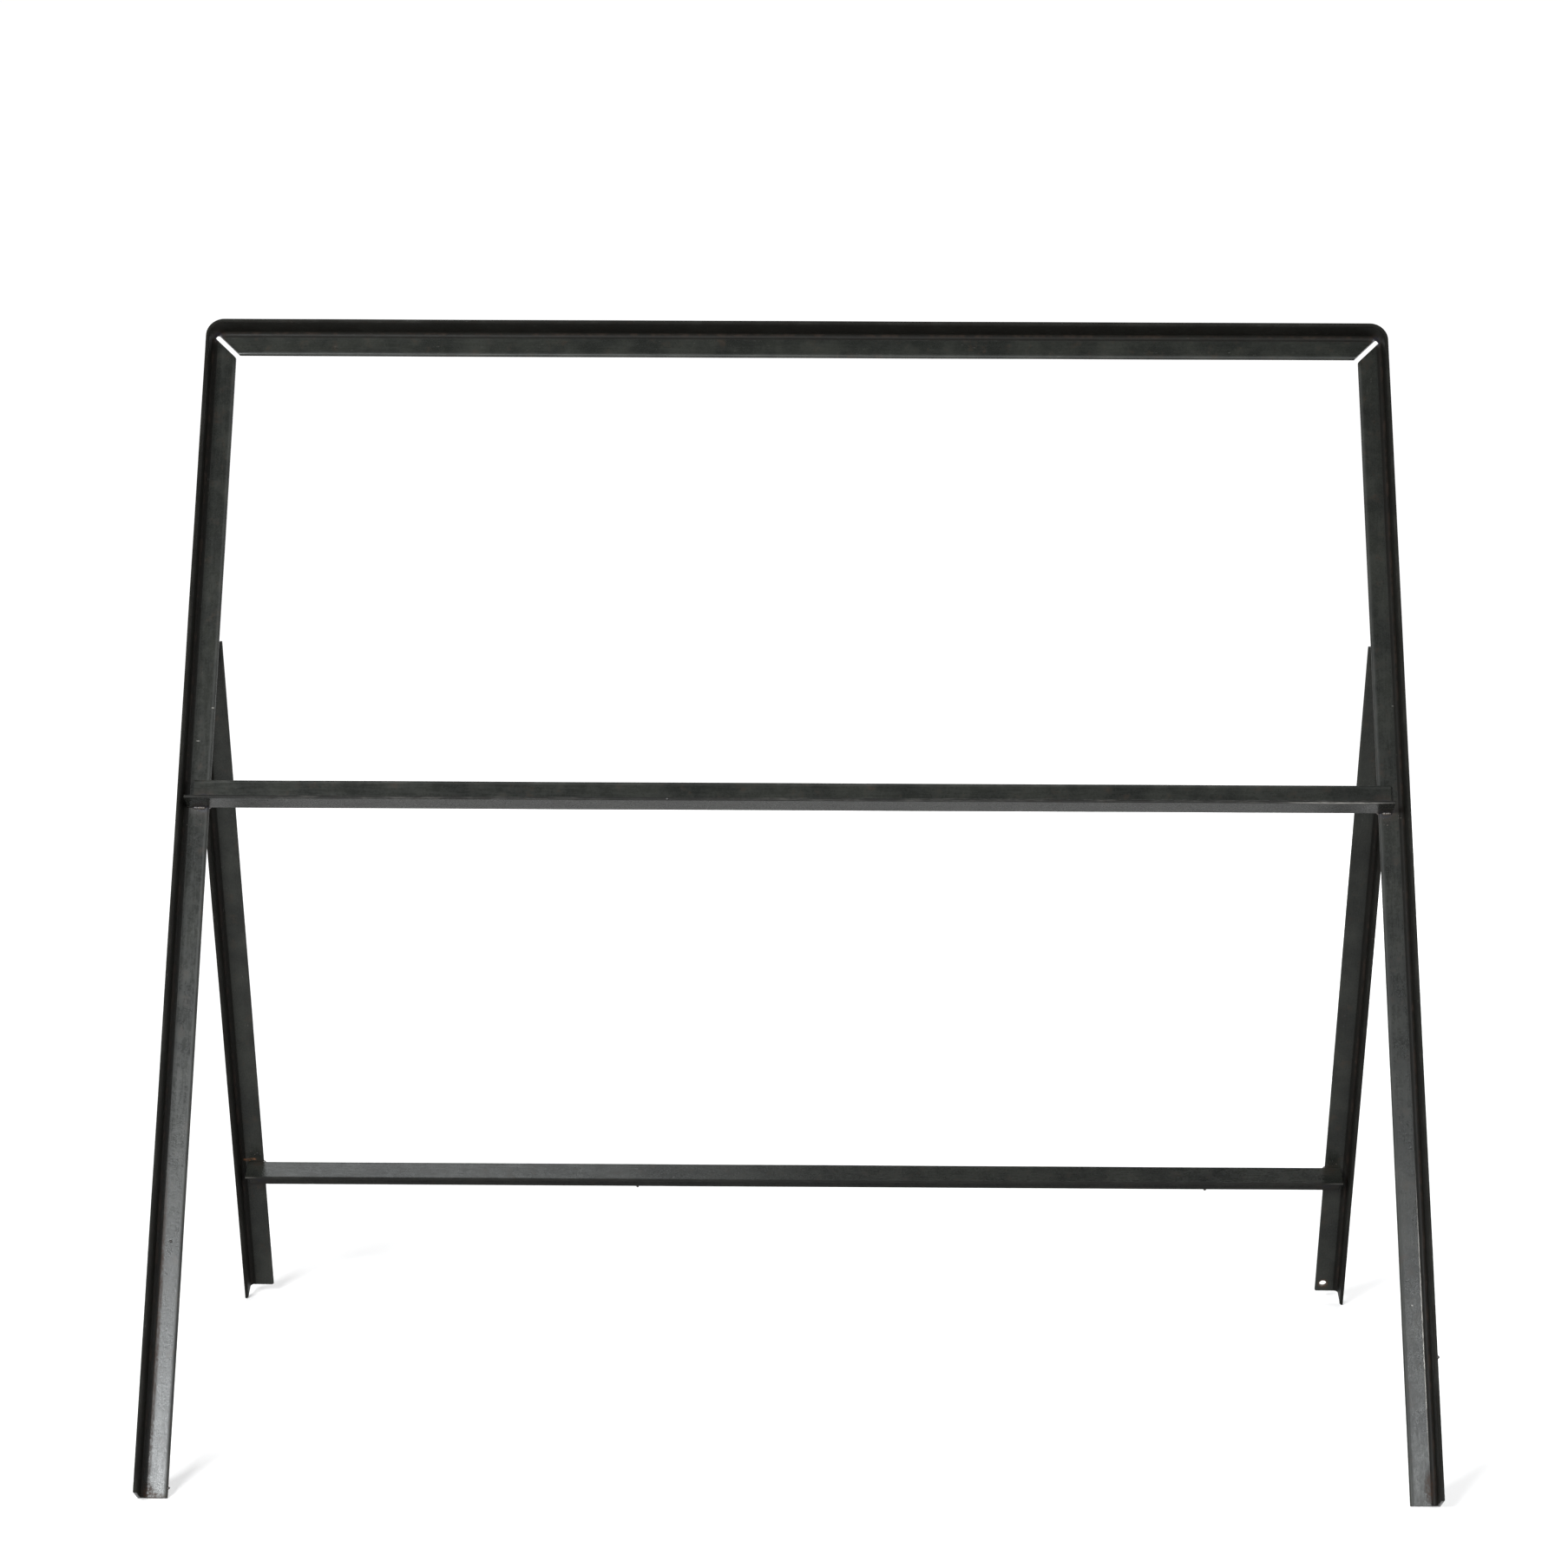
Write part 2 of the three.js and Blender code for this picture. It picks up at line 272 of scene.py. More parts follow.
def angle_profile(inset=0.0):
    """Section of the angle as (a, b, wear, root): a runs from the heel along the flange that
    lies in the frame's plane, b along the other. An inset shrinks it evenly all round. wear is
    1 on rims that get worn. root is painted shade: 1 in the inner corner, CORNER_WEIGHT on the
    other flange's inner face and on a narrow band of this flange's inner face beside the
    corner, and a little less on the other flange's tip."""
    points = []
    least_wear = 0.55

    def arc(a, b, radius, start, end, steps, wear=0.0, root=0.0):
        for i in range(steps + 1):
            t = math.radians(start + (end - start) * i / steps)
            bow = math.sin(math.pi * i / steps)
            rim = (a + radius * math.cos(t), b + radius * math.sin(t))
            worn_here = wear * (least_wear + (1 - least_wear) * bow)
            root_here = root * (CORNER_WEIGHT + (1 - CORNER_WEIGHT) * bow)
            points.append((*rim, worn_here, root_here))

    near = inset
    far = THICK - inset
    tip = FLANGE - inset
    worn = WORN_RADIUS
    toe = TOE_RADIUS - inset
    root = ROOT_RADIUS + inset
    core = THICK + ROOT_RADIUS
    fade = 1.6 * MM
    # Painted shade covers the inner face from the corner out to band_start and fades out by
    # band_end, and covers the other flange's tip.
    band_start = core + 1.3 * MM
    band_end = core + 2.0 * MM
    tip_shade = 0.85
    arc(near + worn, near + worn, worn, 180, 270, 3, wear=1)
    points.append((near + worn + fade, near, 0, 0))
    points.append((FLANGE / 2, near, 0, 0))
    points.append((tip - worn - fade, near, 0, 0))
    arc(tip - worn, near + worn, worn, 270, 360, 2, wear=1)
    arc(tip - toe, far - toe, toe, 0, 90, 5, wear=0.9)
    points.append((tip - toe - fade, far, 0, 0))
    points.append((FLANGE / 2, far, 0, 0))
    points.append((band_end, far, 0, 0))
    points.append((band_start, far, 0, CORNER_WEIGHT))
    arc(core, core, root, 270, 180, 6, root=1)
    points.append((far, core + 4 * MM, 0, CORNER_WEIGHT))
    points.append((far, FLANGE / 2, 0, CORNER_WEIGHT))
    points.append((far, tip - toe - fade, 0, CORNER_WEIGHT))
    arc(far - toe, tip - toe, toe, 0, 90, 5, wear=0.9, root=tip_shade)
    arc(near + worn, tip - worn, worn, 90, 180, 2, wear=1, root=tip_shade)
    points.append((near, tip - worn - fade, 0, 0))
    points.append((near, FLANGE / 2, 0, 0))
    points.append((near, near + worn + fade, 0, 0))
    return points


def rolled(point):
    """Hot-rolled bar is never quite straight: a slow drift of a tenth of a millimetre."""
    start = Vector((3.1, 0.4, 7.7))
    drift = noise.noise_vector(point * DRIFTS_PER_METRE + start)
    return point + drift * ROLLING_DRIFT


def spread(start, end, step=RING_STEP):
    """Even steps from start to end, both included."""
    count = max(1, round(abs(end - start) / step))
    return [start + (end - start) * i / count for i in range(count + 1)]


def bar(place, length):
    """Straight angle bar. place(a, b, l) puts a point of its section in the local frame."""
    stations = [(0, CUT_CHAMFER)]
    stations += [(l, 0) for l in spread(CUT_CHAMFER, length - CUT_CHAMFER)]
    stations.append((length, CUT_CHAMFER))
    rings = []
    for l, inset in stations:
        rings.append([rolled(place(a, b, l)) for a, b, *_ in angle_profile(inset)])
    section = angle_profile()
    return skin_rings(rings, [p[2] for p in section], [p[3] for p in section])


def upright(side, length):
    """Bar up one side of a frame, its heel outside and its side flange to the front."""
    return bar(lambda a, b, l: Vector((side * (HALF - a), -b, l)), length)


def crossbar(up, left, right, y, z):
    """Bar along x. Its flange in the frame's plane stands up from, or hangs from, the heel."""
    return bar(lambda a, b, l: Vector((left + l, y - b, z + up * a)), right - left)


def shade_roots(bm, offset):
    """Gives the faces in the inner corner of the section the less glossy twin of their material,
    painted shade, which comes offset places later in the piece's list."""
    root_layer = bm.verts.layers.float["root"]
    for face in bm.faces:
        if all(vertex[root_layer] > CORNER_LIMIT for vertex in face.verts):
            face.material_index += offset


def frame_stations():
    """Stations round the front frame, from the left foot over the top to the right foot: the
    outer point, the way out from it, and the inner corner where the section turns about it."""
    inner_z = FRONT_LENGTH - FLANGE
    bend_z = FRONT_LENGTH - BEND_RADIUS
    half = []
    for z in spread(CUT_CHAMFER, inner_z):
        half.append((Vector((-HALF, z)), Vector((-1, 0)), None))
    corner = Vector((-HALF + FLANGE, inner_z))
    centre = Vector((-HALF + BEND_RADIUS, bend_z))
    fan = 3 * MM
    for z in spread(inner_z, bend_z, fan)[1:-1]:
        half.append((Vector((-HALF, z)), Vector((-1, 0)), corner))
    steps = 16
    for i in range(steps + 1):
        t = math.pi - math.pi / 2 * i / steps
        out = Vector((math.cos(t), math.sin(t)))
        half.append((centre + out * BEND_RADIUS, out, corner))
    for x in spread(centre.x, corner.x, fan)[1:-1]:
        half.append((Vector((x, FRONT_LENGTH)), Vector((0, 1)), corner))
    for x in spread(corner.x, 0):
        half.append((Vector((x, FRONT_LENGTH)), Vector((0, 1)), None))
    mirrored = []
    for outer, out, corner in reversed(half[:-1]):
        flipped = corner and Vector((-corner.x, corner.y))
        mirrored.append((Vector((-outer.x, outer.y)), Vector((-out.x, out.y)), flipped))
    return half + mirrored


def frame_point(station, a, b):
    """Point (a, b) of the section at a station. In the bends the flange in the frame's plane
    narrows to the inner corner."""
    outer, out, corner = station
    core = THICK + ROOT_RADIUS
    if corner is None or a <= core:
        flat = outer - out * a
    else:
        flat = (outer - out * core).lerp(corner, (a - core) / (FLANGE - core))
    return rolled(Vector((flat.x, -b, flat.y)))


def front_frame_mesh():
    """The angle swept round the frame, with chamfered feet and a slot cut at each mitre."""
    section = angle_profile()
    shrunk = angle_profile(CUT_CHAMFER)
    stations = frame_stations()
    rings = [[frame_point(s, p[0], p[1]) for p in section] for s in stations]
    for foot, index in ((stations[0], 0), (stations[-1], len(rings) + 1)):
        end = (Vector((foot[0].x, 0)), foot[1], None)
        rings.insert(index, [frame_point(end, p[0], p[1]) for p in shrunk])
    whole = skin_rings(rings, [p[2] for p in section], [p[3] for p in section])
    return cut(whole, mitre_slot(-1), mitre_slot(1))


def mitre_slot(side):
    """Cutter for the open notch along the mitre, round at its outer end."""
    radius = SLOT_WIDTH / 2
    reach = 2 * FLANGE
    steps = 16
    outline = []
    for i in range(steps + 1):
        t = math.pi / 2 + math.pi * i / steps
        outline.append((radius * math.cos(t), radius * math.sin(t)))
    outline += [(reach, -radius), (reach, radius)]
    turn = math.radians(-135 if side > 0 else -45)
    x = side * (HALF - SLOT_START)
    z = FRONT_LENGTH - SLOT_START
    placed = []
    for u, v in outline:
        placed_x = x + u * math.cos(turn) - v * math.sin(turn)
        placed_z = z + u * math.sin(turn) + v * math.cos(turn)
        placed.append((placed_x, placed_z))
    return prism(placed, "y", -THICK - CUTTER_REACH, CUTTER_REACH)


# ------------------------------------------------------------------ welds

def new_part_mesh():
    bm = bmesh.new()
    bm.verts.layers.float.new("wear")
    bm.verts.layers.float.new("root")
    return bm


def bead(bm, start, end, normal, width, height, seed):
    """Adds a rippled weld bead, half sunk in the metal, to a bmesh."""
    axis = end - start
    length = axis.length
    axis.normalize()
    across = axis.cross(normal).normalized()
    step = 0.4 * MM
    pitch = 1.7 * MM
    segments = 14
    ripple_depth = 0.13
    drift_depth = 0.16
    drifts_per_metre = 260
    rough_depth = 0.08
    lumps_per_metre = 900
    rings = []
    count = max(6, round(length / step))
    for i in range(count + 1):
        s = i / count
        taper = max(0.05, (1 - abs(2 * s - 1) ** 5)) ** 0.5
        drift = noise.noise(Vector((s * length * drifts_per_metre, seed, 0.3)))
        wave = math.cos(2 * math.pi * s * length / pitch + seed)
        ripple = 1 + ripple_depth * wave + drift_depth * drift
        ring = []
        for k in range(segments):
            t = 2 * math.pi * k / segments
            lump = noise.noise(Vector((s * length * lumps_per_metre, k * 0.9, seed)))
            rough = 1 + rough_depth * lump
            out = across * (math.cos(t) * width / 2) + normal * (math.sin(t) * height)
            ring.append(start + axis * (s * length) + out * taper * ripple * rough)
        rings.append(ring)
    add_part(bm, skin_rings(rings))


def add_part(bm, part):
    """Moves a closed part into a bmesh."""
    mesh = bpy.data.meshes.new("scratch")
    bmesh.ops.recalc_face_normals(part, faces=part.faces)
    part.to_mesh(mesh)
    part.free()
    bm.from_mesh(mesh)
    bpy.data.meshes.remove(mesh)


def spatter(bm, draw, centre, reach, count, surface_y):
    """Adds small drops of weld metal, half sunk in a face at local y = surface_y."""
    for _ in range(count):
        radius = draw.uniform(0.25, 0.6) * MM
        x = centre[0] + draw.uniform(-reach[0], reach[0])
        z = centre[1] + draw.uniform(-reach[1], reach[1])
        drop = new_part_mesh()
        bmesh.ops.create_icosphere(drop, subdivisions=2, radius=radius)
        bmesh.ops.scale(drop, verts=drop.verts, vec=(1, 0.6, 1))
        bmesh.ops.translate(drop, verts=drop.verts, vec=(x, surface_y, z))
        add_part(bm, drop)


def nub(bm, place, radius, seed):
    """Adds one ragged drop of weld metal or burr."""
    raggedness = 0.35
    lumps_per_radius = 1.1
    start = Vector((seed, 0, 0))
    drop = new_part_mesh()
    bmesh.ops.create_icosphere(drop, subdivisions=3, radius=radius)
    for vertex in drop.verts:
        lump = noise.noise(vertex.co / radius * lumps_per_radius + start)
        vertex.co *= 1 + raggedness * lump
    bmesh.ops.translate(drop, verts=drop.verts, vec=place)
    add_part(bm, drop)


# ------------------------------------------------------------------ turned hinge pieces

def turned(profile, side, segments=72, closed=False):
    """Closed mesh turned about the hinge line. Each profile entry is (x from the middle of the
    stand, radius as a function of the angle)."""
    rings = []
    for x, radius in profile:
        ring = []
        for i in range(segments):
            t = 2 * math.pi * i / segments
            y = REAR_PIVOT.y + radius(t) * math.sin(t)
            z = REAR_PIVOT.z + radius(t) * math.cos(t)
            ring.append(Vector((side * x, y, z)))
        rings.append(ring)
    return skin_rings(rings, closed=closed)


def plain(radius):
    return lambda t: radius


def hexed(radius):
    """Hexagon with its corners cut to that radius."""
    def at(t):
        sixth = math.pi / 3
        from_flat = (t % sixth) - sixth / 2
        return min(radius, HEX_APOTHEM / math.cos(from_flat))
    return at


def threaded(x):
    """Radius of the thread's helix at one x."""
    def at(t):
        phase = (x / THREAD_PITCH + t / (2 * math.pi)) % 1
        return BOLT_RADIUS - THREAD_DEPTH * abs(2 * phase - 1)
    return at


def span(node):
    """Distances of a hinge piece's inner and outer faces from the middle of the stand."""
    low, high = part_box(node)
    return min(abs(low.x), abs(high.x)), max(abs(low.x), abs(high.x))


def bolt_mesh(name, side):
    """Hexagon bolt, from its threaded end to its head, which is chamfered and a little dished."""
    inner, outer = span(name)
    corner = HEX_APOTHEM / math.cos(math.pi / 6)
    seat = outer - HEAD_HEIGHT

    tip_radius = BOLT_RADIUS - THREAD_DEPTH - 0.3 * MM
    rows = [(inner, plain(0)), (inner, plain(tip_radius))]
    lead = 0.9 * MM
    thread_end = seat - 1.5 * MM
    step = THREAD_PITCH / 6
    x = inner + lead
    while x < thread_end:
        rows.append((x, threaded(x)))
        x += step

    fillet = 0.35 * MM
    rows.append((seat - 1.2 * MM, plain(BOLT_RADIUS)))
    rows.append((seat - fillet, plain(BOLT_RADIUS)))
    rows.append((seat, plain(BOLT_RADIUS + fillet)))

    bearing_face = 0.3 * MM
    rows.append((seat, plain(HEX_APOTHEM - 0.2 * MM)))
    rows.append((seat + bearing_face, plain(HEX_APOTHEM - 0.1 * MM)))
    rows.append((seat + bearing_face + 0.02 * MM, hexed(corner - 0.15 * MM)))
    rows.append((seat + bearing_face + 0.2 * MM, hexed(corner)))

    chamfer = 1.1 * MM
    corner_loss = 1.35 * MM
    for i in range(7):
        s = i / 6
        rows.append((outer - chamfer * (1 - s), hexed(corner - corner_loss * s)))
    dish = 0.12 * MM
    rows.append((outer, plain(HEX_APOTHEM - 0.9 * MM)))
    rows.append((outer - dish, plain(HEX_APOTHEM - 1.5 * MM)))
    rows.append((outer - dish, plain(0)))
    return turned(rows, side)


def washer_mesh(name, side, reach=WASHER_RADIUS, bore=BOLT_HOLE_RADIUS, edge=0.3 * MM):
    """Flat ring with soft edges, all its surface one closed loop."""
    inner, outer = span(name)
    rows = []
    corners = (
        (inner + edge, reach - edge, 180, 90),
        (outer - edge, reach - edge, 90, 0),
        (outer - edge, bore + edge, 0, -90),
        (inner + edge, bore + edge, 270, 180),
    )
    for x, r, start, end in corners:
        for i in range(4):
            t = math.radians(start + (end - start) * i / 3)
            rows.append((x + edge * math.cos(t), plain(r + edge * math.sin(t))))
    return turned(rows, side, segments=64, closed=True)


def nut_mesh(name, side):
    """Lock nut: a hexagon chamfered at both ends, and a rolled collar that holds the ring."""
    inner, outer = span(name)
    corner = HEX_APOTHEM / math.cos(math.pi / 6)
    hex_end = outer - NUT_HEX_HEIGHT
    chamfer = 0.9 * MM
    bore_chamfer = 0.5 * MM
    rows = [
        (outer, plain(NUT_BORE_RADIUS + bore_chamfer)),
        (outer, plain(HEX_APOTHEM - 0.3 * MM)),
    ]
    for i in range(5):
        s = i / 4
        rows.append((outer - chamfer * s, hexed(corner - 1.1 * MM * (1 - s))))
    for i in range(5):
        s = i / 4
        rows.append((hex_end + chamfer * (1 - s), hexed(corner - 1.25 * MM * s)))

    lip = 0.35 * MM
    roll = 0.1 * MM
    seat_radius = RING_RADIUS + 0.15 * MM
    rows.append((hex_end, plain(NUT_COLLAR_RADIUS)))
    rows.append((inner + lip, plain(NUT_COLLAR_RADIUS - 0.1 * MM)))
    rows.append((inner + roll, plain(NUT_COLLAR_RADIUS - 0.3 * MM)))
    rows.append((inner, plain(NUT_COLLAR_RADIUS - 0.55 * MM)))
    rows.append((inner + roll, plain(seat_radius)))
    rows.append((hex_end, plain(seat_radius)))
    rows.append((hex_end, plain(NUT_BORE_RADIUS)))
    rows.append((outer - bore_chamfer, plain(NUT_BORE_RADIUS)))
    return turned(rows, side, closed=True)


def lug_mesh(side):
    """Flat bar lug with a round end about the pivot and a drilled hole, in the front frame."""
    inner, outer = span("hinge_lug_left" if side < 0 else "hinge_lug_right")
    middle = FRONT_LENGTH - PIVOT_DROP
    base = WELD_GAP
    steps = 28

    def outline(inset):
        radius = LUG_RADIUS - inset
        points = [(base + inset, middle - radius)]
        for i in range(steps + 1):
            t = -math.pi / 2 + math.pi * i / steps
            points.append((PIVOT_BEHIND + radius * math.cos(t), middle + radius * math.sin(t)))
        points.append((base + inset, middle + radius))
        return points

    rings = []
    edge = 0.4 * MM
    for x, inset in ((inner, edge), (inner + edge, 0), (outer - edge, 0), (outer, edge)):
        rings.append([Vector((side * x, u, v)) for u, v in outline(inset)])
    hole = circle(PIVOT_BEHIND, middle, BOLT_HOLE_RADIUS)
    reach = 2 * MM
    ends = sorted((side * (inner - reach), side * (outer + reach)))
    return cut(skin_rings(rings), prism(hole, "x", *ends))


# ------------------------------------------------------------------ materials

class Paint:
    """A material's node tree, with short ways to add to it. Places are in metres, so a noise's
    scale is roughly its number of spots per metre."""

    def __init__(self, name):
        self.material = bpy.data.materials.new(name)
        self.material.use_nodes = True
        self.tree = self.material.node_tree
        self.shader = self.tree.nodes["Principled BSDF"]

    def node(self, kind, inputs=None, **settings):
        made = self.tree.nodes.new("ShaderNode" + kind)
        for key, value in settings.items():
            setattr(made, key, value)
        for key, value in (inputs or {}).items():
            self.put(made.inputs[key], value)
        return made

    def put(self, socket, value):
        if isinstance(value, bpy.types.NodeSocket):
            self.tree.links.new(value, socket)
        else:
            socket.default_value = value

    def math(self, operation, a, b=0.0, clamp=False):
        made = self.node("Math", {0: a, 1: b}, operation=operation, use_clamp=clamp)
        return made.outputs[0]

    def noise(self, vector, scale, detail=4.0, roughness=0.6):
        values = {"Vector": vector, "Scale": scale, "Detail": detail, "Roughness": roughness}
        return self.node("TexNoise", values).outputs["Fac"]

    def steps(self, value, low, high, to_low=0.0, to_high=1.0):
        """Smooth step from to_low at low to to_high at high."""
        values = {"Value": value, "From Min": low, "From Max": high}
        values.update({"To Min": to_low, "To Max": to_high})
        return self.node("MapRange", values, interpolation_type="SMOOTHSTEP").outputs[0]

    def mix(self, factor, a, b, blend="MIX"):
        made = self.node("Mix", {0: factor, 6: a, 7: b}, data_type="RGBA", blend_type=blend)
        return made.outputs[2]

    def attribute(self, name):
        return self.node("Attribute", attribute_name=name).outputs["Fac"]

    def bump(self, height, strength, distance):
        values = {"Height": height, "Strength": strength, "Distance": distance}
        self.put(self.shader.inputs["Normal"], self.node("Bump", values).outputs[0])

    def blob(self, vector, centre, size):
        """1 near a point, 0 beyond an ellipsoid about it."""
        away = self.node("VectorMath", {0: vector, 1: centre}, operation="SUBTRACT").outputs[0]
        inverse = tuple(1 / s for s in size)
        scaled = self.node("VectorMath", {0: away, 1: inverse}, operation="MULTIPLY").outputs[0]
        reach = self.node("VectorMath", {0: scaled}, operation="LENGTH").outputs["Value"]
        return self.steps(reach, 1.0, 0.35)

    def blobs(self, vector, spots):
        """The strongest of the blobs at a list of (centre, size)."""
        masks = [self.blob(vector, centre, size) for centre, size in spots]
        result = masks[0]
        for mask in masks[1:]:
            result = self.math("MAXIMUM", result, mask)
        return result


def local_coordinates(paint, body):
    """The piece's place in its frame's local axes, in metres, measured from the heel line."""
    row = paint.node("TexCoord").outputs["Object"]
    heel = tuple(TO_ROW[body].to_translation())
    away = paint.node("VectorMath", {0: row, 1: heel}, operation="SUBTRACT").outputs[0]
    turn = FRONT_LEAN if body == "front" else -REAR_LEAN
    rotate = {"Vector": away, "Rotation": (turn, 0, 0)}
    return paint.node("Mapping", rotate, vector_type="POINT").outputs[0]


def mill_steel(
    name, body, grain, heat=(), rust=(), grime=(), marks=(), edge_wear=0.02, gloss=FRONT_GLOSS,
):
    """Hot-rolled steel under blue-black mill scale: mottled, faintly streaked along the bar,
    worn to bare metal in places on its edges, browned by welding and rusty in spots, with
    painted shade darkening the inner corner; some marks are painted highlights. heat, rust,
    grime and marks are lists of (centre, size)."""
    dark = (0.0042, 0.0046, 0.0040, 1)
    pale = (0.0105, 0.0110, 0.0092, 1)
    brown = (0.0200, 0.0125, 0.0080, 1)
    painted_shade_black = (0.0030, 0.0026, 0.0021, 1)
    dust_brown = (0.014, 0.0095, 0.0070, 1)
    heat_brown = (0.014, 0.0095, 0.0072, 1)
    heat_blue = (0.0075, 0.008, 0.0115, 1)
    bare_steel = (0.20, 0.19, 0.175, 1)
    grime_brown = (0.019, 0.0110, 0.0075, 1)
    rust_brown = (0.075, 0.034, 0.016, 1)

    paint = Paint(name)
    place = local_coordinates(paint, body)
    squeeze = (1, 1, 0.09) if grain == "z" else (0.09, 1, 1)
    streaked = paint.node("VectorMath", {0: place, 1: squeeze}, operation="MULTIPLY").outputs[0]

    clouds = paint.noise(place, 26, 5, 0.62)
    patches = paint.noise(place, 95, 6, 0.7)
    scale_grain = paint.noise(place, 430, 5, 0.72)
    grit = paint.noise(place, 1300, 3, 0.6)
    streaks = paint.noise(streaked, 520, 4, 0.65)
    scratches = paint.noise(streaked, 1900, 2, 0.5)

    # Mill scale
    colour = paint.mix(paint.steps(clouds, 0.36, 0.66, 0.12, 0.88), dark, pale)
    colour = paint.mix(paint.steps(scale_grain, 0.50, 0.72, 0, 0.2), colour, pale)
    colour = paint.mix(paint.steps(patches, 0.54, 0.72, 0, 0.35), colour, brown)
    colour = paint.mix(paint.steps(streaks, 0.55, 0.75, 0, 0.35), colour, pale)
    roughness = paint.steps(scale_grain, 0.3, 0.7, 0.25, 0.31)
    roughness = paint.math("ADD", roughness, paint.steps(patches, 0.32, 0.68, -0.03, 0.03))
    roughness = paint.math("ADD", roughness, paint.steps(streaks, 0.3, 0.7, -0.03, 0.04))

    # Painted shade: the inner corner darkened towards black; brown dust in the fillet
    root = paint.attribute("root")
    painted_corner_shade = paint.math("MULTIPLY", root, paint.steps(patches, 0.30, 0.60, 0.75, 1))
    colour = paint.mix(painted_corner_shade, colour, painted_shade_black)
    dust = paint.steps(patches, 0.45, 0.62, 0, 0.5)
    dust = paint.math("MULTIPLY", paint.steps(root, 0.86, 1.0), dust)
    colour = paint.mix(dust, colour, dust_brown)

    # Tints round the welds
    if heat:
        near = paint.blobs(place, heat)
        uneven = paint.math("MULTIPLY", near, paint.steps(patches, 0.3, 0.6, 0.45, 1))
        colour = paint.mix(paint.math("MULTIPLY", uneven, 0.6), colour, heat_brown)
        colour = paint.mix(paint.steps(near, 0.72, 1.0, 0, 0.6), colour, heat_blue)
        roughness = paint.math("ADD", roughness, paint.math("MULTIPLY", near, 0.05))

    # Bare metal on rims, in scratches and in worn marks; some marks are a painted highlight
    edge = paint.attribute("wear")
    dull_edge = paint.math("MULTIPLY", edge, 0.40)
    dull_root = paint.math("MULTIPLY", root, 0.25)
    roughness = paint.math("ADD", roughness, paint.math("ADD", dull_edge, dull_root))
    broken = paint.steps(paint.noise(streaked, 700, 5, 0.75), 0.46, 0.60)
    worn = paint.math("MULTIPLY", edge, broken)
    worn = paint.math("MULTIPLY", worn, paint.steps(clouds, 0.42, 0.62, 0.1, 1))
    nicks = paint.steps(scratches, 0.74, 0.80, 0, 0.3)
    bare = paint.math("MAXIMUM", paint.math("MULTIPLY", worn, edge_wear), nicks)
    if marks:
        scratched = paint.steps(scratches, 0.36, 0.56, 0.3, 0.8)
        rubbed_and_highlit = paint.math("MULTIPLY", paint.blobs(place, marks), scratched)
        bare = paint.math("MAXIMUM", bare, rubbed_and_highlit, clamp=True)
    colour = paint.mix(bare, colour, bare_steel)
    metallic = paint.math("MULTIPLY", bare, 0.7)

    # Rust specks and grime
    specks = paint.steps(paint.noise(place, 330, 5, 0.7), 0.67, 0.76, 0, 0.5)
    specks = paint.math("MULTIPLY", specks, paint.steps(clouds, 0.46, 0.62))
    if rust:
        ragged = paint.steps(paint.noise(place, 420, 6, 0.75), 0.40, 0.60, 0.08, 1)
        rusty = paint.math("MULTIPLY", paint.blobs(place, rust), ragged)
        specks = paint.math("MAXIMUM", specks, rusty)
    if grime:
        ragged = paint.steps(paint.noise(place, 560, 6, 0.8), 0.40, 0.58, 0.1, 0.95)
        dirty = paint.math("MULTIPLY", paint.blobs(place, grime), ragged)
        colour = paint.mix(dirty, colour, grime_brown)
        roughness = paint.math("ADD", roughness, paint.math("MULTIPLY", dirty, 0.35))
    colour = paint.mix(specks, colour, rust_brown)
    roughness = paint.math("ADD", roughness, paint.math("MULTIPLY", specks, 0.3), clamp=True)

    paint.put(paint.shader.inputs["Base Color"], colour)
    paint.put(paint.shader.inputs["Roughness"], roughness)
    paint.put(paint.shader.inputs["Metallic"], metallic)
    paint.shader.inputs["IOR"].default_value = 1.45
    paint.shader.inputs["Specular IOR Level"].default_value = gloss

    height = scale_grain
    for layer, share in ((patches, 0.5), (grit, 0.35), (streaks, 0.3), (specks, 0.6)):
        height = paint.math("ADD", height, paint.math("MULTIPLY", layer, share))
    paint.bump(height, 0.6, 0.12 * MM)
    return paint.material


def weld_metal():
    """As-laid weld beads: dark oxide, straw brown in places, with a fine metallic glint."""
    oxide = (0.014, 0.014, 0.016, 1)
    brown = (0.034, 0.026, 0.020, 1)
    straw = (0.055, 0.033, 0.021, 1)
    paint = Paint("weld_metal")
    place = paint.node("TexCoord").outputs["Object"]
    clouds = paint.noise(place, 260, 5, 0.65)
    fine = paint.noise(place, 1500, 3, 0.6)
    colour = paint.mix(paint.steps(clouds, 0.35, 0.6), oxide, brown)
    colour = paint.mix(paint.steps(clouds, 0.62, 0.74, 0, 0.4), colour, straw)
    paint.put(paint.shader.inputs["Base Color"], colour)
    paint.put(paint.shader.inputs["Metallic"], paint.steps(fine, 0.4, 0.7, 0.05, 0.45))
    paint.put(paint.shader.inputs["Roughness"], paint.steps(clouds, 0.3, 0.7, 0.34, 0.6))
    paint.bump(fine, 0.5, 0.08 * MM)
    return paint.material


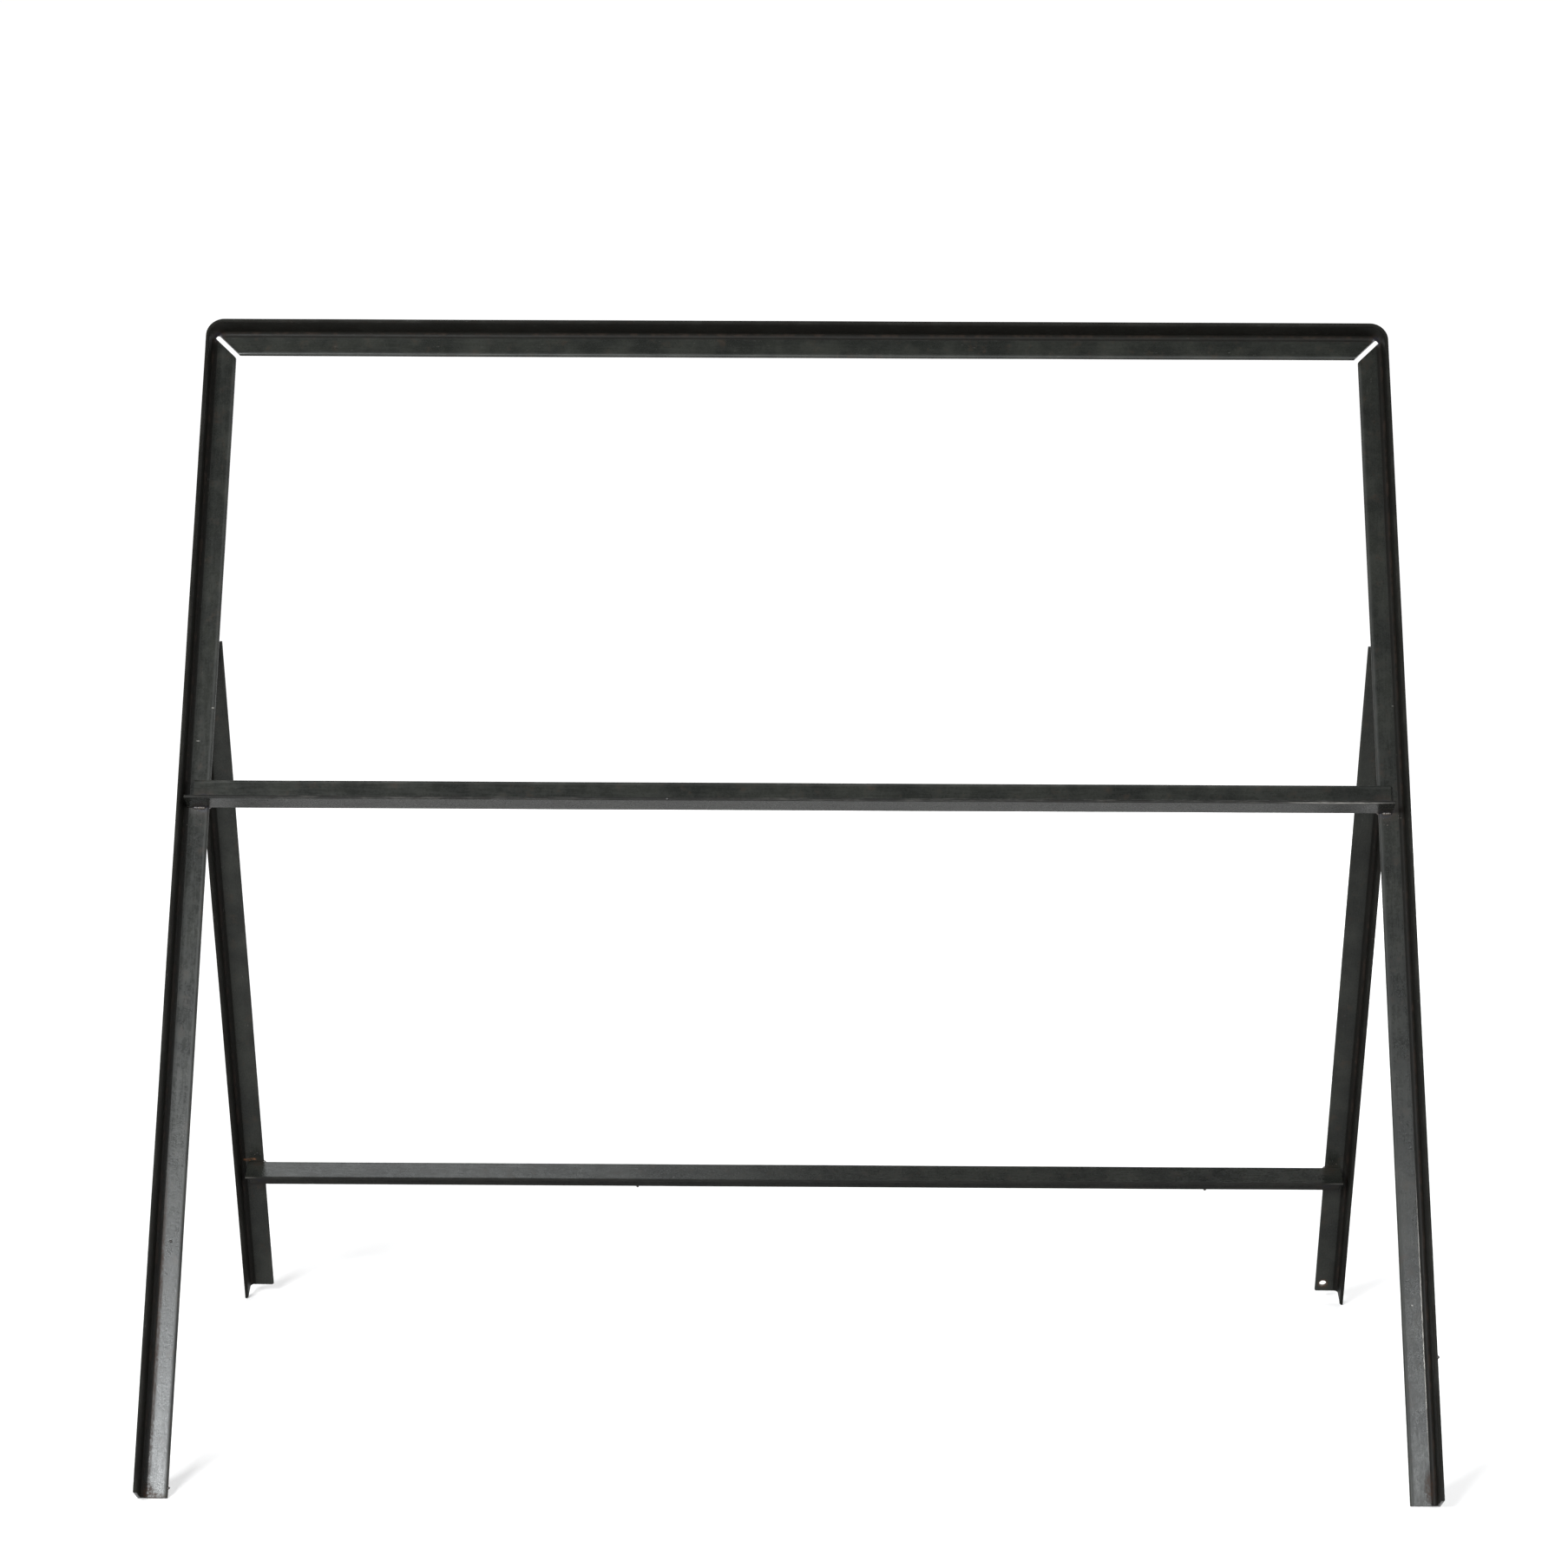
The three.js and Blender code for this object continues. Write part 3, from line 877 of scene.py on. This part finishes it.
def zinc_plate():
    """Dull zinc plating, cloudy, with brownish stains."""
    grey = (0.25, 0.25, 0.25, 1)
    bright = (0.38, 0.37, 0.35, 1)
    stained = (0.14, 0.12, 0.10, 1)
    paint = Paint("zinc_plate")
    place = paint.node("TexCoord").outputs["Object"]
    clouds = paint.noise(place, 420, 5, 0.6)
    fine = paint.noise(place, 2400, 3, 0.6)
    colour = paint.mix(paint.steps(clouds, 0.3, 0.7), grey, bright)
    stains = paint.steps(paint.noise(place, 700, 6, 0.7), 0.60, 0.74, 0, 0.7)
    colour = paint.mix(stains, colour, stained)
    paint.put(paint.shader.inputs["Base Color"], colour)
    paint.shader.inputs["Metallic"].default_value = 0.9
    paint.put(paint.shader.inputs["Roughness"], paint.steps(clouds, 0.3, 0.7, 0.36, 0.52))
    paint.bump(fine, 0.4, 0.05 * MM)
    return paint.material


def blue_nylon():
    deep = (0.022, 0.095, 0.33, 1)
    light = (0.035, 0.14, 0.45, 1)
    paint = Paint("blue_nylon")
    place = paint.node("TexCoord").outputs["Object"]
    clouds = paint.noise(place, 900, 4, 0.6)
    colour = paint.mix(clouds, deep, light)
    paint.put(paint.shader.inputs["Base Color"], colour)
    paint.put(paint.shader.inputs["Roughness"], paint.steps(clouds, 0.3, 0.7, 0.36, 0.5))
    paint.shader.inputs["Subsurface Weight"].default_value = 0.08
    paint.bump(clouds, 0.3, 0.05 * MM)
    return paint.material


def studio_floor():
    """White paper that glows a little, more so far off, so that it meets the white cove."""
    shaded = (0.498, 0.487, 0.480, 1)
    lit = (0.513, 0.502, 0.495, 1)
    paint = Paint("studio_floor")
    place = paint.node("TexCoord").outputs["Object"]
    clouds = paint.noise(place, 2.5, 3, 0.5)
    colour = paint.mix(clouds, shaded, lit)
    paint.put(paint.shader.inputs["Base Color"], colour)
    paint.shader.inputs["Roughness"].default_value = 0.75
    paint.shader.inputs["Specular IOR Level"].default_value = 0.2
    paint.shader.inputs["Emission Color"].default_value = (1, 1, 1, 1)
    away = paint.node("VectorMath", {0: place}, operation="LENGTH").outputs["Value"]
    near = paint.steps(away, 0.3, 1.5, 0.24, 0.38)
    far = paint.steps(away, 1.5, 4.0, 0, 0.54)
    paint.put(paint.shader.inputs["Emission Strength"], paint.math("ADD", near, far))
    return paint.material


# ------------------------------------------------------------------ pieces

ledge_low, ledge_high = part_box("sign_ledge")
rail_low, rail_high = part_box("rear_rail")
LEDGE_Z = FRONT_LENGTH - LEDGE_DROP
PIVOT_Z = FRONT_LENGTH - PIVOT_DROP
INNER_EDGE = HALF - FLANGE
ON_FACE = -THICK - WELD_GAP
CROSSBAR_FRONT = ON_FACE - FLANGE

# Where the steel is browned by its welds, as (centre, size): mitres, ledge ends, lugs, rail ends
front_heat = []
rear_heat = []
for side in SIDES.values():
    mitre = (side * (HALF - SLOT_START), -THICK, FRONT_LENGTH - SLOT_START)
    front_heat.append((mitre, mm(9, 14, 9)))
    ledge_end = (side * (INNER_EDGE + 5 * MM), -THICK, LEDGE_Z + 4 * MM)
    front_heat.append((ledge_end, mm(16, 16, 16)))
    lug = (side * LUG_X, 5 * MM, PIVOT_Z)
    front_heat.append((lug, mm(14, 8, 17)))
    rail_end = (side * (INNER_EDGE + 3 * MM), -THICK, RAIL_HEIGHT - FLANGE / 2)
    rear_heat.append((rail_end, mm(16, 20, 20)))

# Dirt on the front feet and up the left leg's corner
front_grime = [
    ((-HALF + 9 * MM, -THICK, 5 * MM), mm(6, 9, 9)),
    ((-HALF + 15 * MM, -THICK, 1.5 * MM), mm(12, 9, 3.5)),
    ((-HALF + 9 * MM, -THICK, 140 * MM), mm(2.4, 4, 190)),
    ((HALF - 9 * MM, -THICK, 15 * MM), mm(5, 9, 17)),
]
# Rust above the rail's left end and round the tie hole
rear_rust = [
    ((-HALF + 15.6 * MM, -THICK, RAIL_HEIGHT + 3 * MM), mm(4.4, 4, 1.7)),
    ((-HALF + 9 * MM, -THICK, RAIL_HEIGHT + 2 * MM), mm(5, 4, 2.5)),
    ((INNER_EDGE + TIE_HOLE_EDGE, -THICK, TIE_HOLE_HEIGHT), mm(6, 6, 6)),
]
# Nicks in the front legs, and a painted highlight: the light line up the right leg's corner
leg_nicks_and_highlight = [
    ((-HALF + 23 * MM, -THICK, 692 * MM), mm(1.8, 2, 0.5)),
    ((-HALF + 12 * MM, -THICK, 661 * MM), mm(2.2, 2, 0.6)),
    ((HALF - 8 * MM, -THICK, 699 * MM), mm(2, 2, 0.5)),
    ((HALF - 16 * MM, -THICK, 166 * MM), mm(0.8, 2, 1.0)),
    # Painted highlight up the right leg's corner
    ((HALF - 8.1 * MM, -THICK, 150 * MM), mm(0.6, 1.5, 150)),
]
# Worn front edge near the ledge's right end, and light streaks of bare-metal colour at both ends
# of the rail's front edge
ledge_marks = [((0.466, CROSSBAR_FRONT, LEDGE_Z + 0.3 * MM), mm(60, 3, 0.5))]
rail_marks = [
    ((x, CROSSBAR_FRONT - 1.9 * MM, RAIL_HEIGHT - 0.3 * MM), mm(30, 2.5, 0.9))
    for x in (rail_low.x, rail_high.x)
]

front_upright_steel = mill_steel(
    "mill_steel_front_legs", "front", "z", front_heat, grime=front_grime, marks=leg_nicks_and_highlight,
)
front_cross_steel = mill_steel("mill_steel_front_bars", "front", "x", front_heat)
# Less glossy twins for the inner corners: painted shade
front_upright_root_shade = mill_steel(
    "mill_steel_front_leg_root_shade", "front", "z", front_heat, grime=front_grime, gloss=CORNER_SHADE_GLOSS,
)
front_cross_root_shade = mill_steel(
    "mill_steel_front_bar_root_shade", "front", "x", front_heat, gloss=CORNER_SHADE_GLOSS,
)
ledge_steel = mill_steel(
    "mill_steel_ledge", "front", "x", front_heat, marks=ledge_marks, edge_wear=0.12,
    gloss=LEDGE_GLOSS,
)
rear_upright_steel = mill_steel(
    "mill_steel_rear_legs", "rear", "z", rear_heat, rear_rust, gloss=REAR_LEG_GLOSS,
)
rear_upright_root_shade = mill_steel(
    "mill_steel_rear_leg_root_shade", "rear", "z", rear_heat, rear_rust, gloss=CORNER_SHADE_GLOSS,
)
rear_cross_steel = mill_steel(
    "mill_steel_rear_rail", "rear", "x", rear_heat, rear_rust, marks=rail_marks, gloss=RAIL_GLOSS,
)
weld_steel = weld_metal()
zinc = zinc_plate()
nylon = blue_nylon()


def build_front_frame():
    bm = front_frame_mesh()
    for face in bm.faces:
        middle = face.calc_center_median()
        on_top = FRONT_LENGTH - middle.z < HALF - abs(middle.x)
        face.material_index = 1 if on_top else 0
    shade_roots(bm, 2)
    finish_mesh(
        "front_frame_looks", bm, "front",
        [front_upright_steel, front_cross_steel, front_upright_root_shade, front_cross_root_shade],
        stands_for="front_frame",
    )


def build_ledge():
    """The ledge, its upright flange coped short at the left end."""
    bm = crossbar(1, ledge_low.x, ledge_high.x, ON_FACE, LEDGE_Z)
    left = ledge_low.x - LEDGE_COPE
    right = ledge_low.x + LEDGE_COPE
    floor = LEDGE_Z + THICK + ROOT_RADIUS
    top = floor + FLANGE
    outline = [(left, floor), (right, floor), (right, top), (left, top)]
    cope = prism(outline, "y", ON_FACE - THICK - CUTTER_REACH, CUTTER_REACH)
    finish_mesh(
        "sign_ledge_looks", cut(bm, cope), "front",
        [ledge_steel], stands_for="sign_ledge",
    )


def build_rear_leg(name, side):
    bm = upright(side, REAR_LENGTH)
    hole = circle(REAR_PIVOT.y, REAR_PIVOT.z, BOLT_HOLE_RADIUS)
    ends = sorted((side * (HALF - 2 * FLANGE), side * (HALF + FLANGE)))
    drills = [prism(hole, "x", *ends)]
    if name == "right":
        tie_hole = circle(INNER_EDGE + TIE_HOLE_EDGE, TIE_HOLE_HEIGHT, TIE_HOLE_RADIUS)
        drills.append(prism(tie_hole, "y", -THICK - CUTTER_REACH, CUTTER_REACH))
    bm = cut(bm, *drills)
    shade_roots(bm, 1)
    finish_mesh(
        f"rear_leg_{name}_looks", bm, "rear",
        [rear_upright_steel, rear_upright_root_shade], stands_for=f"rear_leg_{name}",
    )


def build_rear_rail():
    finish_mesh(
        "rear_rail_looks", crossbar(-1, rail_low.x, rail_high.x, ON_FACE, RAIL_HEIGHT),
        "rear", [rear_cross_steel], stands_for="rear_rail",
    )


def side_weld(bm, side, low, high, seed):
    """Bead behind a crossbar, up the inner edge of the leg that it is welded to."""
    x = side * (INNER_EDGE - 0.5 * MM)
    y = ON_FACE + 1.2 * MM
    overrun = 0.6 * MM
    foot = Vector((x, y, low - overrun))
    head = Vector((x, y, high + overrun))
    bead(bm, foot, head, Vector((0, 1, 0)), 4.4 * MM, 1.9 * MM, seed)


def ledge_weld(bm, side):
    """Bead under the ledge, across a leg."""
    reach = 11 * MM if side < 0 else 8 * MM
    below = Vector((0, -0.6, -0.8)).normalized()
    start = Vector((side * (INNER_EDGE + 3 * MM), ON_FACE - 0.2 * MM, LEDGE_Z - 0.2 * MM))
    end = start + Vector((side * reach, 0, 0))
    bead(bm, start, end, below, 3.0 * MM, 1.3 * MM, 4.1 + side)


def lug_welds(bm, side):
    """Beads along both sides of a lug."""
    reach = LUG_RADIUS - 1 * MM
    y = 0.4 * MM
    for face in span("hinge_lug_left"):
        start = Vector((side * face, y, PIVOT_Z - reach))
        end = Vector((side * face, y, PIVOT_Z + reach))
        seed = face * 900 + side
        bead(bm, start, end, Vector((0, 1, 0)), 3.4 * MM, 1.9 * MM, seed)


def build_welds():
    """Beads, spatter round them, and the few burrs and drops that show in the photo."""
    draw = random.Random(7)
    front = new_part_mesh()
    rear = new_part_mesh()
    for side in SIDES.values():
        side_weld(front, side, LEDGE_Z, LEDGE_Z + FLANGE, 1.3 + side)
        ledge_weld(front, side)
        lug_welds(front, side)
        spatter(front, draw, (side * 0.516, LEDGE_Z - 9 * MM), mm(8, 8), 9, -THICK)
        spatter(front, draw, (side * 0.512, PIVOT_Z), mm(6, 16), 8, 0)
        side_weld(rear, side, RAIL_HEIGHT - FLANGE, RAIL_HEIGHT, 2.2 + side)
        spatter(rear, draw, (side * 0.514, RAIL_HEIGHT + 9 * MM), mm(7, 7), 7, -THICK)

    nub(front, (-INNER_EDGE + 0.2 * MM, -1.5 * MM, 8.2 * MM), 1.2 * MM, 1)
    nub(front, (HALF, -FLANGE + 1 * MM, 118 * MM), 1.3 * MM, 2)
    nub(front, (-HALF + 15.2 * MM, -THICK, 214 * MM), 1.1 * MM, 6)
    nub(front, (-0.108, CROSSBAR_FRONT, LEDGE_Z + 1 * MM), 0.8 * MM, 3)
    rail_foot = RAIL_HEIGHT - FLANGE
    nub(rear, (-0.149, ON_FACE - 1.4 * MM, rail_foot), 1.3 * MM, 4)
    nub(rear, (0.392, ON_FACE - 1.4 * MM, rail_foot), 1.3 * MM, 5)

    weld_smooth_angle = 60
    finish_mesh("front_welds", front, "front", [weld_steel], weld_smooth_angle)
    finish_mesh("rear_welds", rear, "rear", [weld_steel], weld_smooth_angle)


def build_hinge(name, side):
    """A welded lug, and the bolt, washers and lock nut that turn in it with the rear leg."""
    finish_mesh(
        f"hinge_lug_{name}_looks", lug_mesh(side), "front",
        [front_upright_steel], stands_for=f"hinge_lug_{name}",
    )
    zinc_pieces = (
        ("pivot_bolt", bolt_mesh),
        ("spacer_washer", washer_mesh),
        ("nut_washer", washer_mesh),
        ("lock_nut", nut_mesh),
    )
    for kind, make in zinc_pieces:
        node = f"{kind}_{name}"
        bm = make(node, side)
        finish_mesh(node + "_looks", bm, "rear", [zinc], stands_for=node)
    node = f"nylon_ring_{name}"
    ring = washer_mesh(node, side, RING_RADIUS, NUT_BORE_RADIUS - 0.3 * MM, 0.4 * MM)
    finish_mesh(node + "_looks", ring, "rear", [nylon], stands_for=node)


# ------------------------------------------------------------------ studio

DAYLIGHT = (0.95, 0.98, 1.0)
CAD_CENTRE = (cad_bounds[0] + cad_bounds[1]) / 2

# Name, place, target, width and height in metres, and power in watts
SOFTBOXES = (
    ("key_softbox", (-1.38, -3.0, 1.76), CAD_CENTRE, (1.2, 0.9), 325),
    ("fill_softbox", (1.2, -3.0, 2.0), CAD_CENTRE, (1.0, 0.9), 75),
    ("back_softbox", (-0.9, 1.6, 2.6), (0, 0.2, 0.1), (1.4, 1.0), 30),
    ("rear_fill_softbox", (1.6, 3.2, 1.9), CAD_CENTRE, (1.6, 1.2), 85),
    ("side_fill_softbox", (3.3, -0.4, 1.4), CAD_CENTRE, (1.4, 1.2), 45),
)


def build_floor():
    half_width = 45
    below_feet = 0.2 * MM
    bm = bmesh.new()
    bmesh.ops.create_grid(bm, x_segments=24, y_segments=24, size=half_width)
    mesh = bpy.data.meshes.new("studio_floor")
    bm.to_mesh(mesh)
    bm.free()
    mesh.materials.append(studio_floor())
    floor = bpy.data.objects.new("studio_floor", mesh)
    floor.location.z = cad_bounds[0].z - below_feet
    bpy.context.scene.collection.objects.link(floor)


def build_world():
    """White cove all round, and a darker studio ceiling above it. The fade from one to the
    other runs between two heights on the unit sphere of directions."""
    fade_start = 0.10
    fade_end = 0.55
    cove_strength = 1.04
    ceiling_strength = 0.18
    world = bpy.data.worlds.new("studio")
    bpy.context.scene.world = world
    world.use_nodes = True
    tree = world.node_tree
    direction = tree.nodes.new("ShaderNodeTexCoord")
    split = tree.nodes.new("ShaderNodeSeparateXYZ")
    fade = tree.nodes.new("ShaderNodeMapRange")
    fade.interpolation_type = "SMOOTHSTEP"
    fade.inputs["From Min"].default_value = fade_start
    fade.inputs["From Max"].default_value = fade_end
    fade.inputs["To Min"].default_value = cove_strength
    fade.inputs["To Max"].default_value = ceiling_strength
    background = tree.nodes["Background"]
    tree.links.new(direction.outputs["Generated"], split.inputs[0])
    tree.links.new(split.outputs["Z"], fade.inputs["Value"])
    tree.links.new(fade.outputs[0], background.inputs["Strength"])
    background.inputs["Color"].default_value = (1, 1, 1, 1)


def add_softbox(name, location, target, size, power):
    data = bpy.data.lights.new(name, "AREA")
    data.shape = "RECTANGLE"
    data.size, data.size_y = size
    data.energy = power
    data.color = DAYLIGHT
    lamp = bpy.data.objects.new(name, data)
    lamp.location = location
    aim = Vector(target) - Vector(location)
    lamp.rotation_euler = aim.to_track_quat("-Z", "Y").to_euler()
    bpy.context.scene.collection.objects.link(lamp)


def build_camera():
    """The photographer stood a little right of the middle and 3.26 m in front of the feet, with
    the camera a little above the frame's top."""
    right = 0.0223
    in_front = 3.2563
    height = 1.0239
    pitch = math.radians(-7.550)
    yaw = math.radians(0.487)
    roll = math.radians(0.221)
    data = bpy.data.cameras.new("camera")
    data.sensor_width = 36
    data.lens = 95.56
    camera = bpy.data.objects.new("camera", data)
    place = Matrix.Translation((right, cad_bounds[0].y - in_front, height))
    aim = Matrix.Rotation(yaw, 4, "Z") @ Matrix.Rotation(math.pi / 2 + pitch, 4, "X")
    camera.matrix_world = place @ aim @ Matrix.Rotation(roll, 4, "Z")
    bpy.context.scene.collection.objects.link(camera)
    bpy.context.scene.camera = camera


# ------------------------------------------------------------------ build

build_front_frame()
build_ledge()
for name, side in SIDES.items():
    build_rear_leg(name, side)
build_rear_rail()
build_welds()
for name, side in SIDES.items():
    build_hinge(name, side)

build_floor()
build_world()
build_camera()
for softbox in SOFTBOXES:
    add_softbox(*softbox)
bpy.context.scene.view_settings.view_transform = "Standard"
